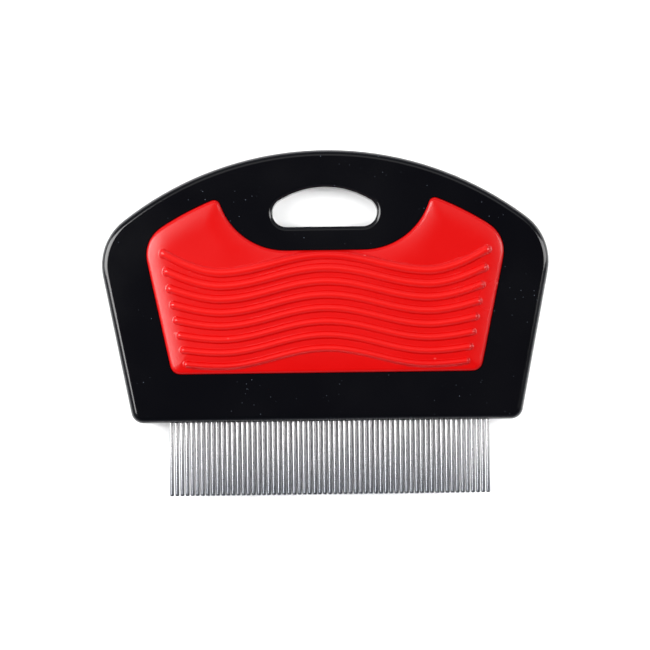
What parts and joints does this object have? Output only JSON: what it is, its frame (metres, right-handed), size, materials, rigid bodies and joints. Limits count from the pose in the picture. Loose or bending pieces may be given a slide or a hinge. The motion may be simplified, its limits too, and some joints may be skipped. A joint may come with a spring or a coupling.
{
  "type": "flea comb",
  "caption": "Palm-held flea comb: black handle with a hang hole, a wavy-ribbed red grip pad on each face, and one row of fine round steel pins.",
  "frame": {"origin": "middle of the comb's footprint, in the plane that the rear ribs rest on", "axes": "+X along the pin row, to the right seen from the front face; +Y from the pin tips to the top of the handle; +Z from the rear face to the front face"},
  "size_m": [0.0872, 0.0674, 0.0108],
  "materials": {
    "handle_plastic": "glossy moulded",
    "grip_rubber": "satin moulded",
    "strip_plastic": "plain moulded",
    "pin_steel": "drawn and polished"
  },
  "bodies": {
    "root": {"front_shell": "handle_plastic", "rear_shell": "handle_plastic", "front_grip_pad": "grip_rubber", "rear_grip_pad": "grip_rubber", "pin_strip": "strip_plastic", "pins_01_to_03": "pin_steel", "pins_04_to_06": "pin_steel", "pins_07_to_09": "pin_steel", "pins_10_to_12": "pin_steel", "pins_13_to_15": "pin_steel", "pins_16_to_18": "pin_steel", "pins_19_to_21": "pin_steel", "pins_22_to_24": "pin_steel", "pins_25_to_27": "pin_steel", "pins_28_to_30": "pin_steel", "pins_31_to_33": "pin_steel", "pins_34_to_36": "pin_steel", "pins_37_to_39": "pin_steel", "pins_40_to_42": "pin_steel", "pins_43_to_45": "pin_steel", "pins_46_to_48": "pin_steel", "pins_49_to_51": "pin_steel", "pins_52_to_54": "pin_steel", "pins_55_to_57": "pin_steel", "pins_58_to_60": "pin_steel", "pins_61_to_63": "pin_steel"}
  },
  "joints": []
}
